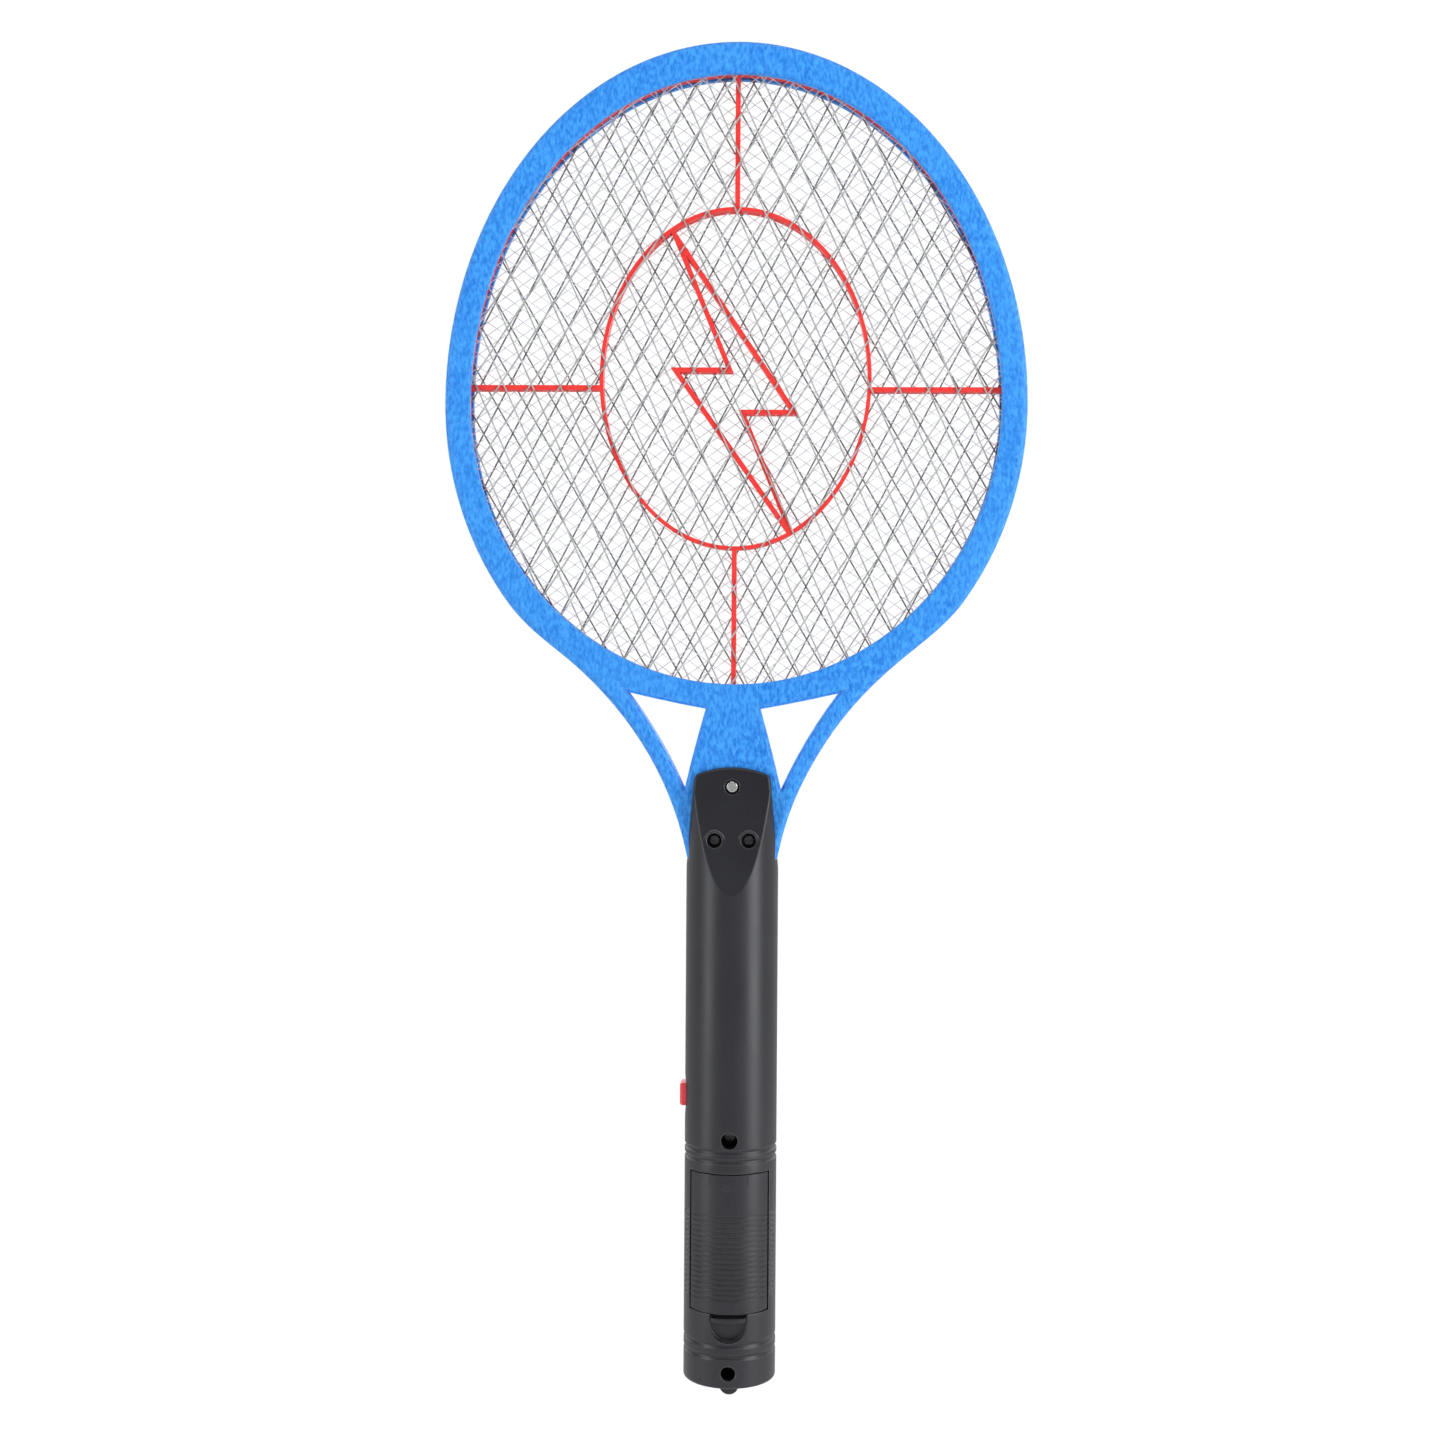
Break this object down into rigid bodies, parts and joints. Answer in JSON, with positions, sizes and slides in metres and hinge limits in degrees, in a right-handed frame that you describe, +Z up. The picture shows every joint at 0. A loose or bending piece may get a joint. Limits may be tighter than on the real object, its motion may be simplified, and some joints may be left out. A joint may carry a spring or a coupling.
{
  "type": "electric fly swatter",
  "caption": "Racket-shaped insect zapper: oval head with a stack of metal meshes, forked neck, round battery handle with side trigger, swing-out cover and lanyard lug.",
  "frame": {"origin": "centre of the racket's outline in plan, at the tip of the lanyard lug", "axes": "+Z up the racket from lug to head, -Y out of the battery cover, +X to the right when the cover is seen"},
  "size_m": [0.215, 0.034, 0.4997],
  "materials": {
    "blue_plastic": "azure blue injection-moulded ABS with a fine moulded texture",
    "mesh_steel": "thin expanded sheet, dull silver grey",
    "centre_mesh_metal": "pale fine flat expanded mesh",
    "red_plastic": "bright red moulded plastic",
    "black_plastic": "charcoal black satin ABS",
    "switch_plastic": "black moulded",
    "board_laminate": "phenolic paper board",
    "ferrite": "dark grey ferrite",
    "winding_tape": "yellow polyester tape over the winding",
    "capacitor_coat": "dipped brown-red epoxy",
    "component_body": "small axial component bodies",
    "cell_can": "plain dark sleeve with bare ends, no print",
    "contact_metal": "nickel-plated spring steel",
    "lead_red": "red insulated wire",
    "lead_black": "black insulated wire",
    "screw_steel": "zinc-plated cross-head screws"
  },
  "bodies": {
    "racket": {"battery_cell_left": "cell_can", "battery_cell_right": "cell_can", "battery_lead_negative": "lead_black", "battery_lead_positive": "lead_red", "centre_mesh_front_layer": "centre_mesh_metal", "centre_mesh_rear_layer": "centre_mesh_metal", "circuit_board": "board_laminate", "ground_lead": "lead_black", "handle_screw_lower": "screw_steel", "handle_screw_upper": "screw_steel", "handle_shell_front": "black_plastic", "handle_shell_rear": "black_plastic", "head_frame_front": "blue_plastic", "head_frame_rear": "blue_plastic", "high_voltage_capacitor": "capacitor_coat", "high_voltage_lead": "lead_red", "insulating_spacer_front": "red_plastic", "insulating_spacer_rear": "red_plastic", "lower_contact": "contact_metal", "lower_spring": "contact_metal", "mesh_strap": "contact_metal", "neck_screw_centre": "screw_steel", "neck_screw_left": "screw_steel", "neck_screw_right": "screw_steel", "outer_mesh_front": "mesh_steel", "outer_mesh_rear": "mesh_steel", "push_switch_body": "switch_plastic", "rectifier_diodes": "component_body", "resistors": "component_body", "transformer_core": "ferrite", "transformer_winding": "winding_tape", "transistor": "switch_plastic", "upper_contact_negative": "contact_metal", "upper_contact_positive": "contact_metal", "upper_spring": "contact_metal"},
    "cover": {"battery_cover": "black_plastic"},
    "latch": {"battery_cover_latch": "black_plastic"},
    "trigger": {"trigger_button": "red_plastic"},
    "plunger": {"push_switch_plunger": "switch_plastic"}
  },
  "joints": [
    {"name": "button_press", "type": "slide", "parent": "racket", "child": "trigger", "axis": [1, 0, 0], "range_m": [0, 0.0015], "stiffness_N_per_m": 400, "springref_m": -0.001},
    {"name": "plunger_press", "type": "slide", "parent": "racket", "child": "plunger", "axis": [1, 0, 0], "range_m": [0, 0.0015]},
    {"name": "cover_swing", "type": "hinge", "parent": "racket", "child": "cover", "pos_m": [0, -0.0169, 0.08455], "axis": [-1, 0, 0], "range_deg": [0, 60]},
    {"name": "latch_press", "type": "slide", "parent": "cover", "child": "latch", "axis": [0, 0, 1], "range_m": [0, 0.001], "stiffness_N_per_m": 500, "springref_m": -0.001}
  ],
  "couplings": [
    {"joint": "plunger_press", "follows": "button_press", "ratio": 1}
  ]
}
